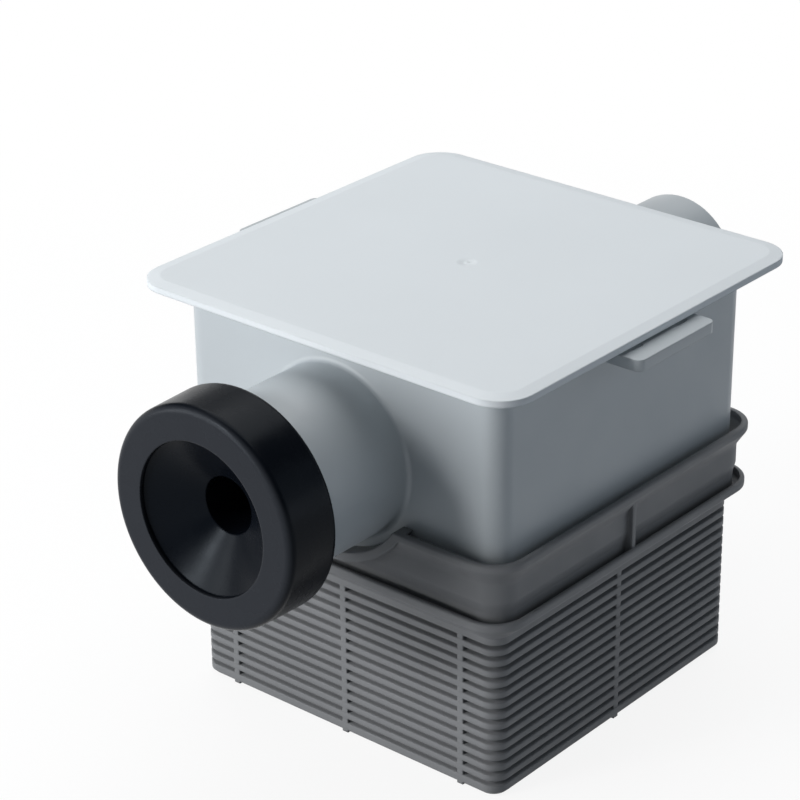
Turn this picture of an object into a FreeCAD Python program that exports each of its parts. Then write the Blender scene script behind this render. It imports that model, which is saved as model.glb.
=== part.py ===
import FreeCAD, Part
import math
import os
import Sketcher

# Recessed floor trap: a box with an inlet and an outlet spigot, a ribbed guard hood that it stands
# in, a rubber inlet seal, a push-on cover and a removable trap insert with a float ball.
# Frame: +Z up, origin on the underside of the hood, under the middle of the box.
# The inlet points to -Y and the outlet to +Y. All sizes are in millimetres.

DIMENSIONS = {
    # cover plate
    "total_height": 100.8,
    "plate_side": 105.0,
    "plate_corner": 8.4,
    "plate_thick": 2.0,
    "bevel_run": 3.0,
    "bevel_drop": 0.5,
    "gate_radius": 1.6,
    "gate_depth": 0.12,
    "skirt_depth": 3.5,
    "skirt_wall": 1.4,
    "skirt_gap": 0.3,
    "skirt_corner": 3.0,
    "guide_radius": 1.9,
    "guide_depth": 14.0,
    "guide_inset": 4.6,
    # trap body
    "body_half": 44.4,
    "body_base_half": 44.1,
    "body_corner": 4.5,
    "body_wall": 2.0,
    "body_base_height": 42.8,
    "body_base_round": 1.5,
    "inlet_height": 71.9,
    "inlet_radius": 20.0,
    "inlet_wall": 2.2,
    "inlet_end": 82.8,
    "outlet_height": 75.2,
    "outlet_radius": 16.0,
    "outlet_wall": 2.0,
    "outlet_end": 83.6,
    "outlet_lead": 1.0,
    "spigot_root": 1.0,
    "lug_reach": 57.2,
    "lug_length": 27.4,
    "lug_thick": 2.6,
    "lug_drop": 0.8,
    "lug_corner": 1.8,
    "slot_start": 47.0,
    "slot_end": 52.6,
    "slot_inner": 6.3,
    "slot_width": 3.6,
    # inlet seal
    "seal_radius": 25.4,
    "seal_back": 72.8,
    "seal_front": 86.8,
    "seal_back_round": 1.5,
    "seal_front_round": 1.8,
    "seal_taper": 0.4,
    "recess_radius": 17.4,
    "recess_step": 1.2,
    "hole_radius": 6.5,
    "hole_front": 78.4,
    "hole_back": 65.8,
    "hole_collar": 2.6,
    "nose_wall": 1.5,
    # guard hood
    "hood_half": 43.7,
    "hood_corner": 4.0,
    "hood_wall": 2.8,
    "hood_floor": 1.6,
    "hood_foot": 0.8,
    "crest_top": 39.5,
    "flange_half": 48.1,
    "flange_low": 43.4,
    "flange_top": 45.2,
    "flange_lip": 1.1,
    "channel_half": 45.3,
    "channel_outer": 43.3,
    "channel_floor": 42.2,
    "channel_high": 46.6,
    "neck_half": 45.9,
    "neck_inner": 44.5,
    "neck_low": 49.0,
    "neck_high": 54.0,
    "rim_half": 48.3,
    "rim_inner": 46.8,
    "rim_low": 57.7,
    "rim_top": 59.3,
    "neck_low_round": 1.5,
    "neck_high_round": 3.0,
    "lip_round": 0.5,
    "groove_count": 14,
    "groove_pitch": 2.625,
    "groove_first": 3.11,
    "groove_depth": 1.5,
    "groove_mouth": 1.18,
    "groove_bed": 0.8,
    "rib_width": 1.6,
    "rib_inset": 0.1,
    "rib_side": 33.4,
    "neck_rib_width": 1.3,
    "neck_rib_proud": 1.3,
    "saddle_radius": 22.6,
    "saddle_lip": 2.2,
    "notch_gap": 3.2,
    # trap insert
    "tray_half": 41.2,
    "tray_corner": 12.0,
    "tray_wall": 1.6,
    "tray_top": 92.2,
    "web": 1.4,
    "lane_half": 13.0,
    "weir": 14.0,
    "bell_half": 26.4,
    "bell_top": 26.0,
    "bell_slope": 10.0,
    "bell_lip": 30.0,
    "partition_start": 27.0,
    "partition_thick": 2.0,
    "rail_half": 10.6,
    "rail_first": 0.0,
    "rail_step": 10.0,
    "inlet_port": 16.4,
    "outlet_port": 12.5,
    "ring_width": 3.2,
    "ring_seat": 0.8,
    "gasket_thick": 0.6,
    "lid_thick": 2.0,
    "dish_half": 12.4,
    "dish_start": 3.0,
    "dish_end": 19.0,
    "bar_radius": 2.2,
    # float ball and its seat
    "ball_radius": 10.0,
    "ball_rest": 18.0,
    "ball_room": 0.6,
    "seat_hole": 6.2,
    "seat_radius": 12.2,
    "seat_mouth": 10.0,
    "seat_neck": 8.8,
    "seat_start": 22.6,
    "seat_end": 29.6,
}

# Rough size that a sketch starts from before its constraints are solved
SEED_HALF = 40.0
SEED_CORNER = 5.0
SEED_RADIUS = 10.0
SEED_ARC = (1.2 * math.pi, 1.8 * math.pi)

# How far an edge may lie from the place it is picked by
PICK_TOLERANCE = 0.02

doc = FreeCAD.newDocument("recessed_floor_trap")
sheet = doc.addObject("Spreadsheet::Sheet", "dims")
for row, (alias, size) in enumerate(DIMENSIONS.items(), 1):
    sheet.set(f"A{row}", alias)
    sheet.set(f"B{row}", str(size))
    sheet.setAlias(f"B{row}", alias)
doc.recompute()


# Sketch and feature helpers

def new_body(label):
    """An empty body whose label names the sub-part."""
    body = doc.addObject("PartDesign::Body", label)
    body.Label = label
    return body


def origin_feature(body, role):
    """One of the body's own origin planes or axes."""
    return next(item for item in body.Origin.OriginFeatures if item.Role == role)


def new_sketch(body, name, role, offset=None):
    """A sketch on one of the body's origin planes, moved along the plane's normal."""
    sketch = body.newObject("Sketcher::SketchObject", name)
    sketch.AttachmentSupport = [(origin_feature(body, role), "")]
    sketch.MapMode = "FlatFace"
    if offset is not None:
        sketch.setExpression("AttachmentOffset.Base.z", offset)
    return sketch


def drive(sketch, kind, places, seed, expression):
    """One dimension of the sketch, driven from the sheet."""
    index = sketch.addConstraint(Sketcher.Constraint(kind, *places, seed))
    sketch.setExpression(f"Constraints[{index}]", expression)


def place_point(sketch, geometry, end, seed, across, up):
    """Fix a point of the sketch at a place given by two expressions."""
    drive(sketch, "DistanceX", (-1, 1, geometry, end), seed.x, across)
    drive(sketch, "DistanceY", (-1, 1, geometry, end), seed.y, up)


def add_outline(sketch, corners):
    """A closed outline of straight lines; each corner is a pair of expressions."""
    count = len(corners)
    first = sketch.GeometryCount
    turn = 2 * math.pi / count
    seeds = [FreeCAD.Vector(SEED_HALF * math.cos(i * turn), SEED_HALF * math.sin(i * turn), 0)
             for i in range(count)]
    sketch.addGeometry([Part.LineSegment(seeds[i], seeds[(i + 1) % count]) for i in range(count)], False)
    sketch.addConstraint([Sketcher.Constraint("Coincident", first + i, 2, first + (i + 1) % count, 1)
                          for i in range(count)])
    for i, (across, up) in enumerate(corners):
        place_point(sketch, first + i, 1, seeds[i], across, up)


def add_rectangle(sketch, left, right, low, high):
    """A rectangle between four expressions."""
    add_outline(sketch, [(left, low), (right, low), (right, high), (left, high)])


def add_rounded_square(sketch, half, corner):
    """A square about the origin with round corners, from its half side and corner radius."""
    first = sketch.GeometryCount
    reach = SEED_HALF - SEED_CORNER
    geometry = []
    for side in range(4):
        spin = FreeCAD.Rotation(FreeCAD.Vector(0, 0, 1), 90 * side)
        start = spin.multVec(FreeCAD.Vector(SEED_HALF, -reach, 0))
        end = spin.multVec(FreeCAD.Vector(SEED_HALF, reach, 0))
        centre = spin.multVec(FreeCAD.Vector(reach, reach, 0))
        circle = Part.Circle(centre, FreeCAD.Vector(0, 0, 1), SEED_CORNER)
        geometry.append(Part.LineSegment(start, end))
        geometry.append(Part.ArcOfCircle(circle, side * math.pi / 2, (side + 1) * math.pi / 2))
    sketch.addGeometry(geometry, False)
    right, top, left, bottom = first, first + 2, first + 4, first + 6
    corners = [first + 1, first + 3, first + 5, first + 7]
    rules = [Sketcher.Constraint("Tangent", first + i, 2, first + (i + 1) % 8, 1) for i in range(8)]
    rules += [Sketcher.Constraint("Vertical", line) for line in (right, left)]
    rules += [Sketcher.Constraint("Horizontal", line) for line in (top, bottom)]
    rules += [Sketcher.Constraint("Equal", corners[0], arc) for arc in corners[1:]]
    sketch.addConstraint(rules)
    drive(sketch, "Radius", (corners[0],), SEED_CORNER, corner)
    drive(sketch, "DistanceX", (-1, 1, right, 1), SEED_HALF, half)
    drive(sketch, "DistanceX", (-1, 1, left, 1), -SEED_HALF, f"-({half})")
    drive(sketch, "DistanceY", (-1, 1, top, 1), SEED_HALF, half)
    drive(sketch, "DistanceY", (-1, 1, bottom, 1), -SEED_HALF, f"-({half})")


def add_circle(sketch, radius, across, up):
    """A circle from its radius and centre."""
    centre = FreeCAD.Vector(SEED_RADIUS, SEED_RADIUS, 0)
    index = sketch.addGeometry(Part.Circle(centre, FreeCAD.Vector(0, 0, 1), SEED_RADIUS), False)
    drive(sketch, "Radius", (index,), SEED_RADIUS, radius)
    place_point(sketch, index, 3, centre, across, up)


def add_segment(sketch, radius, up, chord_up):
    """The part of a disc on the sketch's vertical axis that lies below a level chord."""
    centre = FreeCAD.Vector(0, 2 * SEED_RADIUS, 0)
    circle = Part.Circle(centre, FreeCAD.Vector(0, 0, 1), 2 * SEED_RADIUS)
    arc = sketch.addGeometry(Part.ArcOfCircle(circle, *SEED_ARC), False)
    left, right = (circle.value(angle) for angle in SEED_ARC)
    chord = sketch.addGeometry(Part.LineSegment(right, left), False)
    sketch.addConstraint([
        Sketcher.Constraint("Coincident", arc, 2, chord, 1),
        Sketcher.Constraint("Coincident", chord, 2, arc, 1),
        Sketcher.Constraint("Horizontal", chord),
    ])
    place_point(sketch, arc, 3, centre, "0", up)
    drive(sketch, "Radius", (arc,), 2 * SEED_RADIUS, radius)
    drive(sketch, "DistanceY", (-1, 1, chord, 1), right.y, chord_up)


def extrude(body, kind, name, sketch, length, backwards=False):
    """A Pad along the sketch's normal, or a Pocket against it."""
    feature = body.newObject(f"PartDesign::{kind}", name)
    feature.Profile = sketch
    feature.setExpression("Length", length)
    feature.Reversed = backwards
    return feature


def add_loft(body, name, low, high):
    """A ruled solid between two outlines of the same kind."""
    feature = body.newObject("PartDesign::AdditiveLoft", name)
    feature.Profile = low
    feature.Sections = [high]
    feature.Ruled = True
    return feature


def sweep(body, kind, name, profile, spine):
    """An AdditivePipe or SubtractivePipe of a profile along a closed sketch."""
    feature = body.newObject(f"PartDesign::{kind}", name)
    feature.Profile = profile
    feature.Spine = spine
    return feature


def revolve(body, name, sketch, axis_up):
    """A full turn of the sketch about a level axis at the given height."""
    ends = [FreeCAD.Vector(-SEED_HALF, 0, 0), FreeCAD.Vector(SEED_HALF, 0, 0)]
    line = sketch.addGeometry(Part.LineSegment(*ends), True)
    place_point(sketch, line, 1, ends[0], str(-SEED_HALF), axis_up)
    place_point(sketch, line, 2, ends[1], str(SEED_HALF), axis_up)
    feature = body.newObject("PartDesign::Revolution", name)
    feature.Profile = sketch
    feature.ReferenceAxis = (sketch, ["Axis0"])
    feature.Angle = 360
    return feature


def dress(body, kind, name, base, wanted, size):
    """A Fillet or Chamfer on the base's edges that the test picks."""
    doc.recompute()
    edges = [f"Edge{i}" for i, edge in enumerate(base.Shape.Edges, 1) if wanted(edge)]
    feature = body.newObject(f"PartDesign::{kind}", name)
    feature.Base = (base, edges)
    feature.setExpression("Radius" if kind == "Fillet" else "Size", size)
    return feature


def cell(alias):
    """A sheet value, for picking edges."""
    return float(sheet.get(alias))


def near(first, second):
    """Whether two lengths are the same for picking edges."""
    return abs(first - second) < PICK_TOLERANCE


def level_edge(edge, height):
    """Whether an edge lies flat at a height."""
    box = edge.BoundBox
    return near(box.ZMin, height) and near(box.ZMax, height)


def upright_edge(edge):
    """Whether an edge is a vertical line."""
    box = edge.BoundBox
    return max(box.XLength, box.YLength) < PICK_TOLERANCE < box.ZLength


def ring_at(edge, along, radius):
    """Whether an edge is a circle of a radius about a level axis, at a place along Y."""
    box = edge.BoundBox
    return near(box.YMin, along) and near(box.YMax, along) and near(box.XMax, radius)


# Cover plate: a thin square with a sloped border, a locating skirt and four push-in guide pins

def make_cover_plate():
    body = new_body("cover_plate")
    underside = "dims.total_height - dims.plate_thick"
    face = new_sketch(body, "plate_outline", "XY_Plane", underside)
    add_rounded_square(face, "dims.plate_side / 2", "dims.plate_corner")
    extrude(body, "Pad", "plate", face, "dims.plate_thick - dims.bevel_drop")
    edge = new_sketch(body, "border_outside", "XY_Plane", "dims.total_height - dims.bevel_drop")
    add_rounded_square(edge, "dims.plate_side / 2", "dims.plate_corner")
    flat = new_sketch(body, "border_inside", "XY_Plane", "dims.total_height")
    add_rounded_square(flat, "dims.plate_side / 2 - dims.bevel_run", "dims.plate_corner - dims.bevel_run")
    add_loft(body, "plate_border", edge, flat)
    gate = new_sketch(body, "gate_section", "XZ_Plane")
    add_outline(gate, [
        ("0", "dims.total_height - dims.gate_depth"),
        ("dims.gate_radius", "dims.total_height"),
        ("0", "dims.total_height"),
    ])
    dimple = body.newObject("PartDesign::Groove", "gate_mark")
    dimple.Profile = gate
    dimple.ReferenceAxis = (gate, ["V_Axis"])
    dimple.Angle = 360
    skirt_half = "dims.body_half - dims.body_wall - dims.skirt_gap"
    ring = new_sketch(body, "skirt_outline", "XY_Plane", underside)
    add_rounded_square(ring, skirt_half, "dims.skirt_corner")
    add_rounded_square(ring, f"{skirt_half} - dims.skirt_wall", "dims.skirt_corner - dims.skirt_wall")
    extrude(body, "Pad", "skirt", ring, "dims.skirt_depth", backwards=True)
    pins = new_sketch(body, "guide_outline", "XY_Plane", underside)
    place = "dims.body_half - dims.guide_inset"
    for across in ("", "-"):
        for up in ("", "-"):
            add_circle(pins, "dims.guide_radius", f"{across}({place})", f"{up}({place})")
    extrude(body, "Pad", "guides", pins, "dims.guide_depth", backwards=True)
    return body


# Trap body: drafted box with both spigots and the two fixing lugs, one moulding

def root_edge(edge, radius):
    """Whether an edge is where a round spigot leaves the leaning box wall."""
    box = edge.BoundBox
    reach = max(abs(box.YMin), abs(box.YMax))
    return near(box.XMax, radius) and cell("body_base_half") < reach < cell("body_half")


def add_spigot(body, name, sign):
    """A pipe stub out of the box along -Y (sign "") or +Y (sign "-"), open into the box."""
    radius, height, end = (f"dims.{name}_{size}" for size in ("radius", "height", "end"))
    towards_plus_y = sign == "-"
    root = "dims.body_half - dims.body_wall"
    stub = new_sketch(body, f"{name}_outline", "XZ_Plane", f"{sign}({root})")
    add_circle(stub, radius, "0", height)
    pipe = extrude(body, "Pad", f"{name}_spigot", stub, f"{end} - ({root})", backwards=towards_plus_y)
    dress(body, "Fillet", f"{name}_root", pipe,
          lambda edge: root_edge(edge, cell(f"{name}_radius")), "dims.spigot_root")
    mouth = new_sketch(body, f"{name}_bore_outline", "XZ_Plane", f"{sign}({end})")
    add_circle(mouth, f"{radius} - dims.{name}_wall", "0", height)
    depth = f"{end} - ({root}) + dims.body_wall"
    extrude(body, "Pocket", f"{name}_bore", mouth, depth, backwards=towards_plus_y)


def make_trap_body():
    body = new_body("trap_body")
    top = "dims.total_height - dims.plate_thick"
    base = new_sketch(body, "box_base", "XY_Plane", "dims.body_base_height")
    add_rounded_square(base, "dims.body_base_half", "dims.body_corner")
    height = f"({top} - dims.body_base_height)"
    box = extrude(body, "Pad", "box", base, height)
    box.setExpression("TaperAngle", f"atan((dims.body_half - dims.body_base_half) / {height})")
    dress(body, "Fillet", "box_base_round", box,
          lambda edge: level_edge(edge, cell("body_base_height")), "dims.body_base_round")
    add_spigot(body, "inlet", "")
    add_spigot(body, "outlet", "-")
    inside = new_sketch(body, "box_inside", "XY_Plane", top)
    add_rounded_square(inside, "dims.body_half - dims.body_wall", "dims.body_corner - dims.body_wall")
    hollow = extrude(body, "Pocket", "box_hollow", inside, f"{height} - dims.body_wall")
    dress(body, "Chamfer", "outlet_lead", hollow,
          lambda edge: ring_at(edge, cell("outlet_end"), cell("outlet_radius")), "dims.outlet_lead")
    lugs = new_sketch(body, "lug_outline", "XY_Plane", f"{top} - dims.lug_drop")
    inner = "dims.body_half - dims.body_wall / 2"
    for sign in ("", "-"):
        add_rectangle(lugs, f"{sign}({inner})", f"{sign}dims.lug_reach",
                      "-dims.lug_length / 2", "dims.lug_length / 2")
    pads = extrude(body, "Pad", "lugs", lugs, "dims.lug_thick", backwards=True)
    dress(body, "Fillet", "lug_corners", pads,
          lambda edge: upright_edge(edge) and near(abs(edge.BoundBox.XMax), cell("lug_reach")),
          "dims.lug_corner")
    slots = new_sketch(body, "slot_outline", "XY_Plane", f"{top} - dims.lug_drop")
    for across in ("", "-"):
        for along in ("", "-"):
            add_rectangle(slots, f"{across}dims.slot_start", f"{across}dims.slot_end",
                          f"{along}dims.slot_inner", f"{along}(dims.slot_inner + dims.slot_width)")
    extrude(body, "Pocket", "lug_slots", slots, "dims.lug_thick")
    return body


# Inlet seal: one rubber turning with a flat face, a stepped recess and a funnel into a soft nose

def make_inlet_seal():
    body = new_body("inlet_seal")
    axis = "dims.inlet_height"
    profile = new_sketch(body, "seal_section", "YZ_Plane")
    corners = [
        ("-dims.seal_back", "dims.inlet_radius"),
        ("-dims.seal_back", "dims.seal_radius"),
        ("-dims.seal_front", "dims.seal_radius - dims.seal_taper"),
        ("-dims.seal_front", "dims.recess_radius"),
        ("-dims.seal_front + dims.recess_step", "dims.recess_radius"),
        ("-dims.hole_front", "dims.hole_radius"),
        ("-dims.hole_back", "dims.hole_radius"),
        ("-dims.hole_back", "dims.hole_radius + dims.nose_wall"),
        ("-dims.hole_front", "dims.hole_radius + dims.hole_collar"),
        ("-dims.inlet_end", "dims.recess_radius"),
        ("-dims.inlet_end", "dims.inlet_radius"),
    ]
    add_outline(profile, [(along, f"{axis} + {radius}") for along, radius in corners])
    turned = revolve(body, "seal_turned", profile, axis)
    back = dress(body, "Fillet", "seal_back_edge", turned,
                 lambda edge: ring_at(edge, -cell("seal_back"), cell("seal_radius")),
                 "dims.seal_back_round")
    dress(body, "Fillet", "seal_front_edge", back,
          lambda edge: ring_at(edge, -cell("seal_front"), cell("seal_radius") - cell("seal_taper")),
          "dims.seal_front_round")
    return body


# Guard hood: a wall swept round the box, grooved in steps, with upright ribs and a saddle for the inlet

def make_guard_hood():
    body = new_body("guard_hood")
    route = new_sketch(body, "wall_route", "XY_Plane")
    add_rounded_square(route, "dims.hood_half", "dims.hood_corner")
    section = new_sketch(body, "wall_section", "XZ_Plane")
    inner = "dims.hood_half - dims.hood_wall"
    add_outline(section, [
        (inner, "0"),
        ("dims.hood_half - dims.hood_foot", "0"),
        ("dims.hood_half", "dims.hood_foot"),
        ("dims.hood_half", "dims.crest_top"),
        ("dims.flange_half", "dims.flange_low"),
        ("dims.flange_half", "dims.flange_top"),
        ("dims.flange_half - dims.flange_lip", "dims.flange_top"),
        ("dims.flange_half - dims.flange_lip", "dims.channel_outer"),
        ("dims.channel_half", "dims.channel_floor"),
        ("dims.channel_half", "dims.channel_high"),
        ("dims.neck_half", "dims.neck_low"),
        ("dims.neck_half", "dims.neck_high"),
        ("dims.rim_half", "dims.rim_low"),
        ("dims.rim_half", "dims.rim_top"),
        ("dims.rim_inner", "dims.rim_top"),
        ("dims.rim_inner", "dims.rim_low"),
        ("dims.neck_inner", "dims.neck_high"),
        ("dims.neck_inner", "dims.body_base_height"),
        (inner, "dims.body_base_height"),
    ])
    wall = sweep(body, "AdditivePipe", "wall", section, route)
    feature = wall
    rounds = [("neck_low", "neck_half", "neck_low_round"), ("neck_high", "neck_half", "neck_high_round"),
              ("flange_low", "flange_half", "lip_round"), ("flange_top", "flange_half", "lip_round"),
              ("rim_low", "rim_half", "lip_round"), ("rim_top", "rim_half", "lip_round")]
    for height, half, radius in rounds:
        feature = dress(body, "Fillet", f"{height}_edge", feature,
                        lambda edge: level_edge(edge, cell(height)) and on_square(edge, half),
                        f"dims.{radius}")
    floor = new_sketch(body, "floor_outline", "XY_Plane")
    add_rounded_square(floor, f"{inner} + dims.hood_foot / 2", "dims.hood_corner - dims.hood_wall")
    extrude(body, "Pad", "floor", floor, "dims.hood_floor")
    cut = new_sketch(body, "groove_section", "XZ_Plane")
    bed = "dims.hood_half - dims.groove_depth"
    mouth = "dims.hood_half + dims.groove_depth"
    spread = "(2 * dims.groove_mouth - dims.groove_bed) / 2"
    add_outline(cut, [
        (bed, "dims.groove_first - dims.groove_bed / 2"),
        (mouth, f"dims.groove_first - {spread}"),
        (mouth, f"dims.groove_first + {spread}"),
        (bed, "dims.groove_first + dims.groove_bed / 2"),
    ])
    groove = sweep(body, "SubtractivePipe", "groove", cut, route)
    grooves = body.newObject("PartDesign::LinearPattern", "grooves")
    grooves.Originals = [groove]
    grooves.Direction = (origin_feature(body, "Z_Axis"), [""])
    grooves.setExpression("Occurrences", "dims.groove_count")
    grooves.setExpression("Length", "(dims.groove_count - 1) * dims.groove_pitch")
    body.Tip = grooves
    add_upright_ribs(body)
    add_neck_ribs(body)
    add_saddle(body)
    return body


def on_square(edge, half):
    """Whether an edge lies on the rounded square of a half side, corners included."""
    size = cell(half)
    corner = cell("hood_corner") + size - cell("hood_half")
    middle = edge.valueAt((edge.FirstParameter + edge.LastParameter) / 2)
    across = abs(middle.x)
    up = abs(middle.y)
    centre = size - corner
    if across > centre and up > centre:
        return near(math.hypot(across - centre, up - centre), corner)
    return near(max(across, up), size)


def add_upright_ribs(body):
    """Upright ribs that cross the grooves: three on each spigot side, one on each lug side."""
    ribs = new_sketch(body, "rib_outline", "XY_Plane")
    root = "(dims.hood_half - dims.groove_depth - dims.hood_wall / 4)"
    face = "(dims.hood_half - dims.rib_inset)"
    side = "dims.rib_width / 2"
    for sign in ("", "-"):
        for place in ("0", "dims.rib_side", "-dims.rib_side"):
            add_rectangle(ribs, f"{place} - {side}", f"{place} + {side}", f"{sign}{root}", f"{sign}{face}")
        add_rectangle(ribs, f"{sign}{root}", f"{sign}{face}", f"-{side}", side)
    extrude(body, "Pad", "upright_ribs", ribs, "dims.crest_top")


def add_neck_ribs(body):
    """One short rib between the flanges on each lug side."""
    ribs = new_sketch(body, "neck_rib_outline", "XY_Plane", "dims.channel_outer")
    side = "dims.neck_rib_width / 2"
    for sign in ("", "-"):
        add_rectangle(ribs, f"{sign}(dims.neck_inner + dims.channel_half) / 2",
                      f"{sign}(dims.neck_half + dims.neck_rib_proud)", f"-{side}", side)
    extrude(body, "Pad", "neck_ribs", ribs, "dims.rim_low - dims.channel_outer")


def add_saddle(body):
    """The scallop under the inlet with its lip, and the shallow notch under the outlet."""
    lip = new_sketch(body, "saddle_lip_outline", "XZ_Plane", "dims.neck_inner")
    add_segment(lip, "dims.saddle_radius + dims.saddle_lip", "dims.inlet_height", "dims.rim_top")
    extrude(body, "Pad", "saddle_lip", lip, "dims.rim_half - dims.neck_inner")
    scallop = new_sketch(body, "saddle_outline", "XZ_Plane", "dims.rim_half + dims.hood_wall")
    add_circle(scallop, "dims.saddle_radius", "0", "dims.inlet_height")
    through = "dims.rim_half - dims.neck_inner + 2 * dims.hood_wall"
    extrude(body, "Pocket", "saddle", scallop, through)
    notch = new_sketch(body, "notch_outline", "XZ_Plane", "-(dims.rim_half + dims.hood_wall)")
    add_circle(notch, "dims.outlet_radius + dims.notch_gap", "0", "dims.outlet_height")
    extrude(body, "Pocket", "outlet_notch", notch, through, backwards=True)


# Trap insert: tray with a bell wall over a standpipe lane, lid, gasket and port rings

TRAY_FLOOR = "dims.body_base_height + dims.body_wall"
TRAY_INNER = "(dims.tray_half - dims.tray_wall)"
LANE_FLOOR = f"{TRAY_FLOOR} + dims.tray_wall"
LANE_DEPTH = f"dims.tray_top - ({LANE_FLOOR})"


def make_cassette_tray():
    body = new_body("cassette_tray")
    block = new_sketch(body, "tray_outline", "XY_Plane", TRAY_FLOOR)
    add_rounded_square(block, "dims.tray_half", "dims.tray_corner")
    extrude(body, "Pad", "tray", block, f"dims.tray_top - ({TRAY_FLOOR})")
    inside = new_sketch(body, "tray_inside", "XY_Plane", "dims.tray_top")
    add_rounded_square(inside, TRAY_INNER, "dims.tray_corner - dims.tray_wall")
    extrude(body, "Pocket", "tray_hollow", inside, LANE_DEPTH)
    webs = new_sketch(body, "web_outline", "XY_Plane", LANE_FLOOR)
    add_bell(webs)
    for sign in ("", "-"):
        add_rectangle(webs, f"{sign}dims.lane_half", f"{sign}(dims.lane_half + dims.web)",
                      "-dims.weir", "dims.partition_start")
    extrude(body, "Pad", "webs", webs, LANE_DEPTH)
    closure = new_sketch(body, "partition_outline", "XY_Plane", LANE_FLOOR)
    add_partition(closure)
    extrude(body, "Pad", "partition", closure, LANE_DEPTH)
    add_ball_guides(body)
    add_port(body, "inlet_port", "dims.inlet_port", "dims.inlet_height", "")
    add_port(body, "outlet_port", "dims.outlet_port", "dims.outlet_height", "-")
    seat = new_sketch(body, "seat_hole_outline", "XZ_Plane", "-(dims.partition_start + dims.partition_thick)")
    add_circle(seat, "dims.seat_neck", "0", "dims.inlet_height")
    extrude(body, "Pocket", "seat_hole", seat, "dims.partition_thick", backwards=True)
    return body


def add_bell(sketch):
    """The bell wall: an arch with 45 degree shoulders that is open towards the outlet."""
    half = "dims.bell_half"
    top = "-dims.bell_top"
    shoulder = "dims.bell_slope - dims.bell_top"
    inset = "dims.web"
    slope_inset = "dims.web * tan(22.5 deg)"
    add_outline(sketch, [
        (half, "dims.bell_lip"),
        (half, shoulder),
        (f"{half} - dims.bell_slope", top),
        (f"dims.bell_slope - {half}", top),
        (f"-{half}", shoulder),
        (f"-{half}", "dims.bell_lip"),
        (f"{inset} - {half}", "dims.bell_lip"),
        (f"{inset} - {half}", f"{shoulder} + {slope_inset}"),
        (f"dims.bell_slope - {half} + {slope_inset}", f"{top} + {inset}"),
        (f"{half} - dims.bell_slope - {slope_inset}", f"{top} + {inset}"),
        (f"{half} - {inset}", f"{shoulder} + {slope_inset}"),
        (f"{half} - {inset}", "dims.bell_lip"),
    ])


def add_partition(sketch):
    """The wall that holds the ball seat, and the two lane walls that run on to the outlet port."""
    reach = "(dims.lane_half + dims.web)"
    end = f"({TRAY_INNER} + dims.tray_wall / 2)"
    back = "(dims.partition_start + dims.partition_thick)"
    add_outline(sketch, [
        (f"-{reach}", "dims.partition_start"),
        (reach, "dims.partition_start"),
        (reach, end),
        ("dims.lane_half", end),
        ("dims.lane_half", back),
        ("-dims.lane_half", back),
        ("-dims.lane_half", end),
        (f"-{reach}", end),
    ])


def add_ball_guides(body):
    """Upright ribs beside the ball and one long rib under it."""
    sides = new_sketch(body, "rail_outline", "XY_Plane", LANE_FLOOR)
    for sign in ("", "-"):
        for step in range(3):
            place = f"dims.rail_first + {step} * dims.rail_step"
            add_rectangle(sides, f"{sign}dims.rail_half", f"{sign}(dims.lane_half + dims.web / 2)",
                          f"{place} - dims.web / 2", f"{place} + dims.web / 2")
    extrude(body, "Pad", "rails", sides, f"dims.inlet_height + dims.web - ({LANE_FLOOR})")
    keel = new_sketch(body, "keel_outline", "XY_Plane", LANE_FLOOR)
    add_rectangle(keel, "-dims.web / 2", "dims.web / 2", "dims.rail_first", "dims.seat_start - dims.web")
    under = "dims.inlet_height - dims.ball_radius - dims.ball_room"
    extrude(body, "Pad", "keel", keel, f"{under} - ({LANE_FLOOR})")


def add_port(body, name, radius, height, sign):
    """A round port through a tray wall, with a seat outside for its rubber ring."""
    towards_plus_y = sign == "-"
    ring = new_sketch(body, f"{name}_seat_outline", "XZ_Plane", f"{sign}dims.tray_half")
    add_circle(ring, f"{radius} + dims.ring_width", "0", height)
    extrude(body, "Pocket", f"{name}_seat", ring, "dims.ring_seat", backwards=towards_plus_y)
    hole = new_sketch(body, f"{name}_outline", "XZ_Plane", f"{sign}dims.tray_half")
    add_circle(hole, radius, "0", height)
    extrude(body, "Pocket", name, hole, "dims.tray_wall", backwards=towards_plus_y)


def make_cassette_lid():
    body = new_body("cassette_lid")
    under = "dims.tray_top + dims.gasket_thick"
    top = f"{under} + dims.lid_thick"
    plate = new_sketch(body, "lid_outline", "XY_Plane", under)
    add_rounded_square(plate, "dims.tray_half", "dims.tray_corner")
    extrude(body, "Pad", "lid", plate, "dims.lid_thick")
    dish = new_sketch(body, "dish_outline", "XY_Plane", under)
    add_rectangle(dish, "-dims.dish_half", "dims.dish_half", "-dims.dish_start", "dims.dish_end")
    depth = f"{under} - (dims.inlet_height + dims.ball_radius + dims.ball_room)"
    extrude(body, "Pad", "dish", dish, depth, backwards=True)
    cup = new_sketch(body, "cup_outline", "XY_Plane", top)
    add_rectangle(cup, "dims.web - dims.dish_half", "dims.dish_half - dims.web",
                  "dims.web - dims.dish_start", "dims.dish_end - dims.web")
    extrude(body, "Pocket", "cup", cup, f"{depth} + dims.lid_thick - dims.web")
    bar = new_sketch(body, "bar_outline", "YZ_Plane", "-dims.dish_half + dims.web / 2")
    add_circle(bar, "dims.bar_radius", "(dims.dish_end - dims.dish_start) / 2",
               f"{top} - dims.bar_radius")
    extrude(body, "Pad", "pull_bar", bar, "2 * dims.dish_half - dims.web")
    return body


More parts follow.
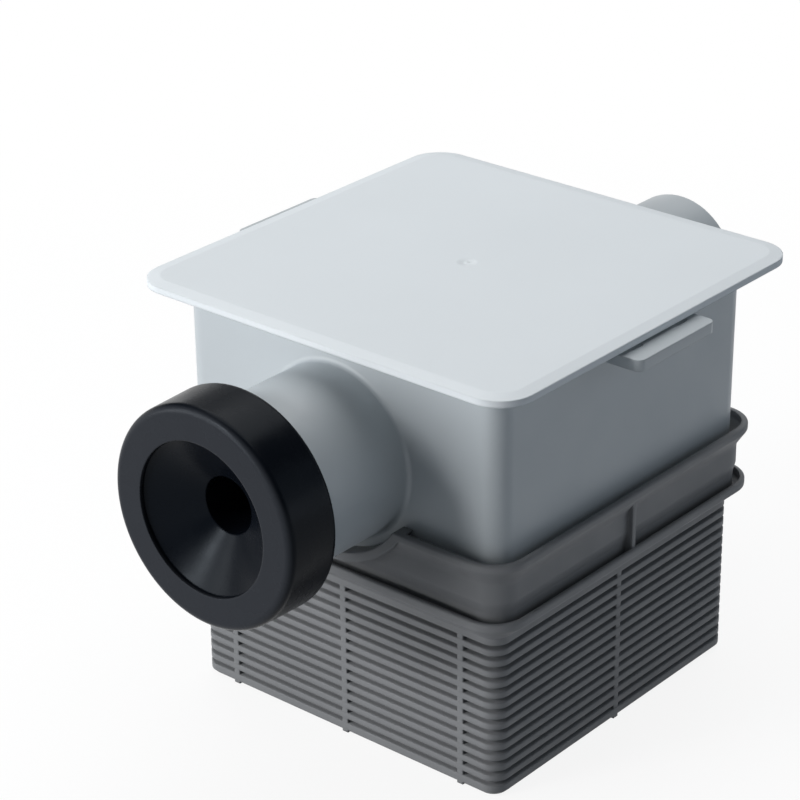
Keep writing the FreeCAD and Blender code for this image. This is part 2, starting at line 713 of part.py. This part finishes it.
def make_lid_gasket():
    body = new_body("lid_gasket")
    ring = new_sketch(body, "gasket_outline", "XY_Plane", "dims.tray_top")
    add_rounded_square(ring, "dims.tray_half", "dims.tray_corner")
    add_rounded_square(ring, TRAY_INNER, "dims.tray_corner - dims.tray_wall")
    extrude(body, "Pad", "gasket", ring, "dims.gasket_thick")
    return body


def make_port_ring(label, radius, height, sign):
    """A rubber ring from the seat in the tray to the inside of the box."""
    length = "dims.body_half - dims.body_wall - dims.tray_half + dims.ring_seat"
    start = "dims.tray_half - dims.ring_seat"
    cylinders = []
    for name, size in (("outside", f"{radius} + dims.ring_width"), ("hole", radius)):
        cylinder = doc.addObject("Part::Cylinder", f"{label}_{name}")
        cylinder.setExpression("Radius", size)
        cylinder.setExpression("Height", length)
        cylinders.append(cylinder)
    ring = doc.addObject("Part::Cut", label)
    ring.Base, ring.Tool = cylinders
    ring.Label = label
    turn = 90 if sign == "-" else -90
    ring.Placement = FreeCAD.Placement(FreeCAD.Vector(), FreeCAD.Rotation(FreeCAD.Vector(1, 0, 0), turn))
    ring.setExpression("Placement.Base.y", f"{sign}({start})")
    ring.setExpression("Placement.Base.z", height)
    return ring


# Float ball and the rubber seat it falls on

def make_ball_seat():
    body = new_body("ball_seat")
    axis = "dims.inlet_height"
    profile = new_sketch(body, "seat_section", "YZ_Plane")
    cone_end = "dims.seat_start + dims.seat_mouth - dims.seat_hole"
    corners = [
        ("dims.seat_start", "dims.seat_mouth"),
        (cone_end, "dims.seat_hole"),
        ("dims.seat_end", "dims.seat_hole"),
        ("dims.seat_end", "dims.seat_neck"),
        ("dims.partition_start", "dims.seat_neck"),
        ("dims.partition_start", "dims.seat_radius"),
        ("dims.seat_start", "dims.seat_radius"),
    ]
    add_outline(profile, [(along, f"{axis} + {radius}") for along, radius in corners])
    revolve(body, "seat_turned", profile, axis)
    return body


def make_float_ball():
    ball = doc.addObject("Part::Sphere", "float_ball")
    ball.Label = "float_ball"
    ball.setExpression("Radius", "dims.ball_radius")
    ball.setExpression("Placement.Base.y", "dims.ball_rest")
    ball.setExpression("Placement.Base.z", "dims.inlet_height")
    return ball


sub_parts = [
    make_cover_plate(),
    make_trap_body(),
    make_inlet_seal(),
    make_guard_hood(),
    make_cassette_tray(),
    make_cassette_lid(),
    make_lid_gasket(),
    make_port_ring("inlet_port_ring", "dims.inlet_port", "dims.inlet_height", "-"),
    make_port_ring("outlet_port_ring", "dims.outlet_port", "dims.outlet_height", ""),
    make_ball_seat(),
    make_float_ball(),
]
doc.recompute()

# Nothing is written unless every object of the document is sound
failed = [item.Label for item in doc.Objects if "Invalid" in item.State or "Error" in item.State]
if failed:
    raise RuntimeError(f"failed: {failed}")
for part in sub_parts:
    if part.Shape.isNull() or not part.Shape.isValid():
        raise RuntimeError(f"{part.Label} has no sound shape")
    if len(part.Shape.Solids) != 1:
        raise RuntimeError(f"{part.Label} has {len(part.Shape.Solids)} solids")

os.makedirs("parts", exist_ok=True)
for part in sub_parts:
    part.Shape.exportStep(f"parts/{part.Label}.step")
    box = part.Shape.BoundBox
    print(f"{part.Label:18s} volume {part.Shape.Volume:9.1f} mm3  "
          f"x {box.XMin:6.1f} {box.XMax:6.1f}  y {box.YMin:6.1f} {box.YMax:6.1f}  "
          f"z {box.ZMin:6.1f} {box.ZMax:6.1f}")
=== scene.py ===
import math
import bmesh
import bpy
from mathutils import Matrix, Vector


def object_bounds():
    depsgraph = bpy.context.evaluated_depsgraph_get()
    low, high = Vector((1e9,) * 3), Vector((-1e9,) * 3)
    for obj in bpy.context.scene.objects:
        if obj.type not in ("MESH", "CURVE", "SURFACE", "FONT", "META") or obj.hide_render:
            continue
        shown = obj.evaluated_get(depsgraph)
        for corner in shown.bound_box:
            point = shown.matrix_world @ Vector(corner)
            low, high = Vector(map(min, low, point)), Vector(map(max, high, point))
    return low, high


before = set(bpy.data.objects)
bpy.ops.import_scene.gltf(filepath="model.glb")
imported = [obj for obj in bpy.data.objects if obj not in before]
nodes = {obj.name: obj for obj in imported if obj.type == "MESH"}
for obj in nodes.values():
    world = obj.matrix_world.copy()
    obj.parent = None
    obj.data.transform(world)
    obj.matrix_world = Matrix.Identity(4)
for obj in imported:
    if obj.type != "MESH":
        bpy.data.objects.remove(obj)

# Looks of the recessed floor trap: a procedural finish for every node, a pale floor, soft studio light
# and a camera at the photograph's angle. All lengths are in metres.

cad_low, cad_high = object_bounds()

# Camera of the photograph: where it stands, where it looks, its roll and its lens
CAMERA_PLACE = Vector((0.3613, -0.4476, 0.3425))
CAMERA_AZIMUTH = math.radians(40.42)
CAMERA_ELEVATION = math.radians(25.59)
CAMERA_ROLL = math.radians(-0.58)
CAMERA_LENS = 126.6
SENSOR_WIDTH = 36.0

# Colours as they look under white light, linear
COVER_WHITE = (0.74, 0.78, 0.805)
BODY_GREY = (0.46, 0.497, 0.52)
HOOD_GREY = (0.19, 0.195, 0.203)
RUBBER_BLACK = (0.0035, 0.0048, 0.0075)
# Painted reflection: a lighter grey for the seal's flat face, in place of the bright floor that it mirrors
RUBBER_FACE_PAINTED_REFLECTION = (0.024, 0.0265, 0.032)
RUBBER_GLOSS = (0.80, 0.90, 1.0)
INSERT_PLASTIC = (0.75, 0.78, 0.78)
BALL_PLASTIC = (0.80, 0.80, 0.76)
FLOOR_BOUNCE = (0.32, 0.34, 0.365)

# Colours of the light
WHITE = (1.0, 1.0, 1.0)
COOL_WHITE = (0.87, 0.935, 1.0)
COOL_FILL = (0.78, 0.88, 1.0)

# Noise of every finish, for tone, gloss, slow waves and fine grain: scale per metre, detail, roughness
TONE_NOISE = (22.0, 2.0, 0.5)
GLOSS_NOISE = (140.0, 3.0, 0.5)
WAVE_NOISE = (30.0, 1.0, 0.5)
GRAIN_DETAIL = 2.0
GRAIN_ROUGHNESS = 0.6

# Between these two lies most of what the noise gives
NOISE_LOW = 0.3
NOISE_HIGH = 0.7

# How far the gloss of a finish changes either way, and the samples that round an edge in its shading
GLOSS_CHANGE = 0.05
EDGE_SAMPLES = 6

# The sink round the cover's gate and the nub in it, which is as high as this share of the sink's depth
ACROSS_GATE = (1.0, 1.0, 0.0)
SINK_RADIUS = 0.0026
SINK_DEPTH = 0.00022
NUB_RADIUS = 0.0008
NUB_HEIGHT = 0.8

# Where along Y the painted reflection on the seal's flat face begins, and where it is full
PAINTED_REFLECTION_BEGINS = -0.0857
PAINTED_REFLECTION_FULL = -0.0866

# Floor and backdrop: the floor lies just under the part, and the wall stands inside the floor's edge
FLOOR_SIZE = 20.0
FLOOR_DROP = 0.0002
BACKDROP_RADIUS = 9.0
BACKDROP_HEIGHT = 1.6
BACKDROP_SIDES = 64

# How far from the middle the floor keeps its shadow and where it is plain white, with the share of
# plain white that it has even in the shadow
FLOOR_SHADED = 0.10
FLOOR_CLEAR = 0.40
FLOOR_GLOW = 0.88

# Strength of the even light from all round, and of floor and backdrop where they are seen as white
WORLD_FILL = 0.135
SEEN_STRENGTH = 1.0

# Lamps that face the middle of the part: name, place, side of the square, watts and colour
LAMPS = [
    ("key_front", (-0.38, -0.64, 0.10), 0.6, 6.4, WHITE),
    ("kicker_left", (-0.35, -0.85, 0.50), 0.2, 2.5, WHITE),
    ("top_back", (-0.22, 0.35, 1.05), 1.0, 7.9, WHITE),
    ("rim_left", (-0.58, 0.69, 0.48), 0.8, 0.8, WHITE),
    ("fill_right", (0.8, 0.5, 0.3), 0.7, 1.1, COOL_FILL),
]


# Node helpers

def rgba(colour):
    """A colour with full opacity."""
    return (*colour, 1.0)


def add_node(tree, kind, inputs=None, **settings):
    """A node with its settings and the values of its input sockets."""
    node = tree.nodes.new(kind)
    for name, value in settings.items():
        setattr(node, name, value)
    for name, value in (inputs or {}).items():
        node.inputs[name].default_value = value
    return node


def new_material(name):
    """An empty node material, its tree and its output node."""
    material = bpy.data.materials.new(name)
    material.use_nodes = True
    tree = material.node_tree
    tree.nodes.clear()
    return material, tree, add_node(tree, "ShaderNodeOutputMaterial")


def own_place(tree):
    """The object's own coordinates."""
    return add_node(tree, "ShaderNodeTexCoord").outputs["Object"]


def noise(tree, place, scale, detail, roughness):
    """Smooth noise over a place."""
    look = {"Scale": scale, "Detail": detail, "Roughness": roughness}
    node = add_node(tree, "ShaderNodeTexNoise", look)
    tree.links.new(place, node.inputs["Vector"])
    return node.outputs["Fac"]


def ramp(tree, value, begins, full, low=0.0, high=1.0, blend="SMOOTHSTEP"):
    """A value that turns from low to high between two values of another."""
    ends = {"From Min": begins, "From Max": full, "To Min": low, "To Max": high}
    node = add_node(tree, "ShaderNodeMapRange", ends, interpolation_type=blend)
    tree.links.new(value, node.inputs["Value"])
    return node.outputs["Result"]


def spread(tree, value, low, high):
    """A noise value mapped evenly to a range."""
    return ramp(tree, value, NOISE_LOW, NOISE_HIGH, low, high, "LINEAR")


def combine(tree, operation, first, second):
    """Two values joined by a mathematical operation."""
    node = add_node(tree, "ShaderNodeMath", operation=operation)
    tree.links.new(first, node.inputs[0])
    tree.links.new(second, node.inputs[1])
    return node.outputs[0]


def distance(tree, vector):
    """The length of a vector."""
    node = add_node(tree, "ShaderNodeVectorMath", operation="LENGTH")
    tree.links.new(vector, node.inputs[0])
    return node.outputs["Value"]


def bump(tree, height, depth, normal):
    """A normal bent by a height, where a height of one stands for the depth."""
    node = add_node(tree, "ShaderNodeBump", {"Strength": 1.0, "Distance": depth})
    tree.links.new(height, node.inputs["Height"])
    tree.links.new(normal, node.inputs["Normal"])
    return node.outputs["Normal"]


def glow(tree, colour, strength):
    """A surface that gives off plain light."""
    node = add_node(tree, "ShaderNodeEmission", {"Color": rgba(colour), "Strength": strength})
    return node.outputs["Emission"]


def mix_surface(tree, output, share, first, second):
    """A surface that turns from the first shader to the second by a share."""
    mix = add_node(tree, "ShaderNodeMixShader")
    tree.links.new(share, mix.inputs["Fac"])
    tree.links.new(first, mix.inputs[1])
    tree.links.new(second, mix.inputs[2])
    tree.links.new(mix.outputs["Shader"], output.inputs["Surface"])


def seen_directly(tree):
    """One for rays from the camera, a glossy surface or glass, none for light on its way to the object."""
    path = add_node(tree, "ShaderNodeLightPath").outputs
    seen = combine(tree, "MAXIMUM", path["Is Camera Ray"], path["Is Glossy Ray"])
    return combine(tree, "MAXIMUM", seen, path["Is Transmission Ray"])


# Finishes

def gate_sink(tree, place, normal):
    """The shallow sink and the nub that stay where a moulding was filled, on the object's own Z axis."""
    across = add_node(tree, "ShaderNodeVectorMath", {1: ACROSS_GATE}, operation="MULTIPLY")
    tree.links.new(place, across.inputs[0])
    radius = distance(tree, across.outputs["Vector"])
    sink = ramp(tree, radius, NUB_RADIUS, SINK_RADIUS)
    nub = ramp(tree, radius, 0.0, NUB_RADIUS, NUB_HEIGHT, 0.0)
    return bump(tree, combine(tree, "ADD", sink, nub), SINK_DEPTH, normal)


def painted_face_reflection(tree, place, colour):
    """Painted reflection: the seal's flat face is painted greyer than its sides and its funnel, in place of
    the bright floor that it mirrors.
    """
    parts = add_node(tree, "ShaderNodeSeparateXYZ")
    tree.links.new(place, parts.inputs[0])
    tone = add_node(tree, "ShaderNodeMix", data_type="RGBA")
    tree.links.new(ramp(tree, parts.outputs["Y"], PAINTED_REFLECTION_BEGINS, PAINTED_REFLECTION_FULL), tone.inputs["Factor"])
    tree.links.new(colour, tone.inputs["A"])
    tone.inputs["B"].default_value = rgba(RUBBER_FACE_PAINTED_REFLECTION)
    return tone.outputs["Result"]


def moulded_finish(name, colour, roughness, specular, grain_size, grain_height, wave_height, edge_round,
                   tone, gloss_tint=WHITE, relief=None, shade=None):
    """Moulded plastic or rubber: fine grain, slow waves of the wall, small changes of tone and gloss.

    relief bends the normal and shade changes the colour, each by the place on the object.
    """
    material, tree, output = new_material(name)
    look = {"Specular IOR Level": specular, "Specular Tint": rgba(gloss_tint)}
    shader = add_node(tree, "ShaderNodeBsdfPrincipled", look)
    place = own_place(tree)
    cloud = spread(tree, noise(tree, place, *TONE_NOISE), 1.0 - tone, 1.0 + tone)
    tint = add_node(tree, "ShaderNodeMix", {"Factor": 1.0}, data_type="RGBA", blend_type="MULTIPLY")
    tint.inputs["A"].default_value = rgba(colour)
    tree.links.new(cloud, tint.inputs["B"])
    base = tint.outputs["Result"]
    if shade:
        base = shade(tree, place, base)
    tree.links.new(base, shader.inputs["Base Color"])
    patches = noise(tree, place, *GLOSS_NOISE)
    gloss = spread(tree, patches, roughness - GLOSS_CHANGE, roughness + GLOSS_CHANGE)
    tree.links.new(gloss, shader.inputs["Roughness"])
    edge = add_node(tree, "ShaderNodeBevel", {"Radius": edge_round}, samples=EDGE_SAMPLES)
    normal = edge.outputs["Normal"]
    if relief:
        normal = relief(tree, place, normal)
    normal = bump(tree, noise(tree, place, *WAVE_NOISE), wave_height, normal)
    grain = noise(tree, place, 1.0 / grain_size, GRAIN_DETAIL, GRAIN_ROUGHNESS)
    normal = bump(tree, grain, grain_height, normal)
    tree.links.new(normal, shader.inputs["Normal"])
    tree.links.new(shader.outputs["BSDF"], output.inputs["Surface"])
    return material


def dress(names, material):
    """Give the finish to CAD nodes."""
    for name in names:
        slots = nodes[name].data.materials
        slots.clear()
        slots.append(material)


dress(["cover_plate"], moulded_finish(
    "cover_white", COVER_WHITE, roughness=0.7, specular=0.16, grain_size=0.0005, grain_height=0.000004,
    wave_height=0.00006, edge_round=0.0006, tone=0.012, relief=gate_sink))
dress(["trap_body"], moulded_finish(
    "body_grey", BODY_GREY, roughness=0.42, specular=0.4, grain_size=0.0005, grain_height=0.000006,
    wave_height=0.0001, edge_round=0.0005, tone=0.02))
dress(["guard_hood"], moulded_finish(
    "hood_grey", HOOD_GREY, roughness=0.55, specular=0.3, grain_size=0.0004, grain_height=0.00001,
    wave_height=0.00006, edge_round=0.0008, tone=0.04))
# The seal's rubber carries a painted reflection on its flat face
dress(["inlet_seal", "lid_gasket", "inlet_port_ring", "outlet_port_ring", "ball_seat"], moulded_finish(
    "seal_rubber", RUBBER_BLACK, roughness=0.27, specular=0.065, grain_size=0.0007, grain_height=0.000006,
    wave_height=0.00006, edge_round=0.0005, tone=0.08, gloss_tint=RUBBER_GLOSS, shade=painted_face_reflection))
dress(["cassette_tray", "cassette_lid"], moulded_finish(
    "insert_plastic", INSERT_PLASTIC, roughness=0.4, specular=0.4, grain_size=0.0006, grain_height=0.000005,
    wave_height=0.00008, edge_round=0.0004, tone=0.02))
dress(["float_ball"], moulded_finish(
    "ball_plastic", BALL_PLASTIC, roughness=0.35, specular=0.4, grain_size=0.0006, grain_height=0.000004,
    wave_height=0.00005, edge_round=0.0002, tone=0.02))


# Floor, backdrop, world, lamps and camera

def floor_finish():
    """A pale floor that takes the object's shadow near it and runs out to plain white."""
    material, tree, output = new_material("floor_pale")
    seen = seen_directly(tree)
    tone = add_node(tree, "ShaderNodeMix", data_type="RGBA")
    tone.inputs["A"].default_value = rgba(FLOOR_BOUNCE)
    tone.inputs["B"].default_value = rgba(WHITE)
    tree.links.new(seen, tone.inputs["Factor"])
    matt = add_node(tree, "ShaderNodeBsdfDiffuse")
    tree.links.new(tone.outputs["Result"], matt.inputs["Color"])
    reach = distance(tree, own_place(tree))
    fade = ramp(tree, reach, FLOOR_SHADED, FLOOR_CLEAR, FLOOR_GLOW)
    share = combine(tree, "MULTIPLY", fade, seen)
    mix_surface(tree, output, share, matt.outputs["BSDF"], glow(tree, WHITE, SEEN_STRENGTH))
    return material


def backdrop_finish():
    """White where it is seen, and no brighter than the world where it only lights."""
    material, tree, output = new_material("backdrop_pale")
    dim = glow(tree, COOL_WHITE, WORLD_FILL)
    mix_surface(tree, output, seen_directly(tree), dim, glow(tree, WHITE, SEEN_STRENGTH))
    return material


def add_object(name, mesh, height, material):
    """An object for a mesh, with its material, at a height."""
    added = bpy.data.objects.new(name, mesh)
    added.location.z = height
    bpy.context.scene.collection.objects.link(added)
    mesh.materials.append(material)
    return added


def make_floor():
    """A square floor just under the part."""
    half = FLOOR_SIZE / 2
    corners = [(-half, -half, 0), (half, -half, 0), (half, half, 0), (-half, half, 0)]
    mesh = bpy.data.meshes.new("floor")
    mesh.from_pydata(corners, [], [(0, 1, 2, 3)])
    floor = add_object("floor", mesh, -FLOOR_DROP, floor_finish())


def make_backdrop():
    """A wall round the part, so that a low view shows no dark horizon."""
    wall = bmesh.new()
    bmesh.ops.create_cone(wall, segments=BACKDROP_SIDES, radius1=BACKDROP_RADIUS, radius2=BACKDROP_RADIUS,
                          depth=BACKDROP_HEIGHT)
    mesh = bpy.data.meshes.new("backdrop")
    wall.to_mesh(mesh)
    wall.free()
    backdrop = add_object("backdrop", mesh, BACKDROP_HEIGHT / 2 - FLOOR_DROP, backdrop_finish())


def make_world():
    """Dim even light from all round."""
    world = bpy.data.worlds.new("studio")
    bpy.context.scene.world = world
    world.use_nodes = True
    tree = world.node_tree
    tree.nodes.clear()
    light = add_node(tree, "ShaderNodeBackground", {"Color": rgba(COOL_WHITE), "Strength": WORLD_FILL})
    output = add_node(tree, "ShaderNodeOutputWorld")
    tree.links.new(light.outputs["Background"], output.inputs["Surface"])


def add_softbox(name, place, target, side, watts, colour):
    """A square area lamp that faces a point."""
    lamp = bpy.data.lights.new(name, "AREA")
    lamp.shape = "SQUARE"
    lamp.color = colour
    lamp.size = side
    lamp.energy = watts
    box = bpy.data.objects.new(name, lamp)
    box.location = place
    box.rotation_euler = (Vector(target) - Vector(place)).to_track_quat("-Z", "Y").to_euler()
    bpy.context.scene.collection.objects.link(box)


def make_camera():
    """The photograph's camera, turned by its azimuth, its elevation and then its roll."""
    back = Vector((math.sin(CAMERA_AZIMUTH) * math.cos(CAMERA_ELEVATION),
                   -math.cos(CAMERA_AZIMUTH) * math.cos(CAMERA_ELEVATION),
                   math.sin(CAMERA_ELEVATION)))
    right = Vector((math.cos(CAMERA_AZIMUTH), math.sin(CAMERA_AZIMUTH), 0.0))
    up = back.cross(right)
    turn = Matrix((right, up, back)).transposed() @ Matrix.Rotation(CAMERA_ROLL, 3, "Z")
    data = bpy.data.cameras.new("camera")
    data.lens = CAMERA_LENS
    data.sensor_width = SENSOR_WIDTH
    camera = bpy.data.objects.new("camera", data)
    camera.matrix_world = Matrix.Translation(CAMERA_PLACE) @ turn.to_4x4()
    bpy.context.scene.collection.objects.link(camera)
    bpy.context.scene.camera = camera


make_floor()
make_backdrop()
make_world()
middle = (cad_low + cad_high) / 2
for lamp_name, lamp_place, lamp_side, lamp_watts, lamp_colour in LAMPS:
    add_softbox(lamp_name, lamp_place, middle, lamp_side, lamp_watts, lamp_colour)
make_camera()
bpy.context.scene.view_settings.view_transform = "Standard"
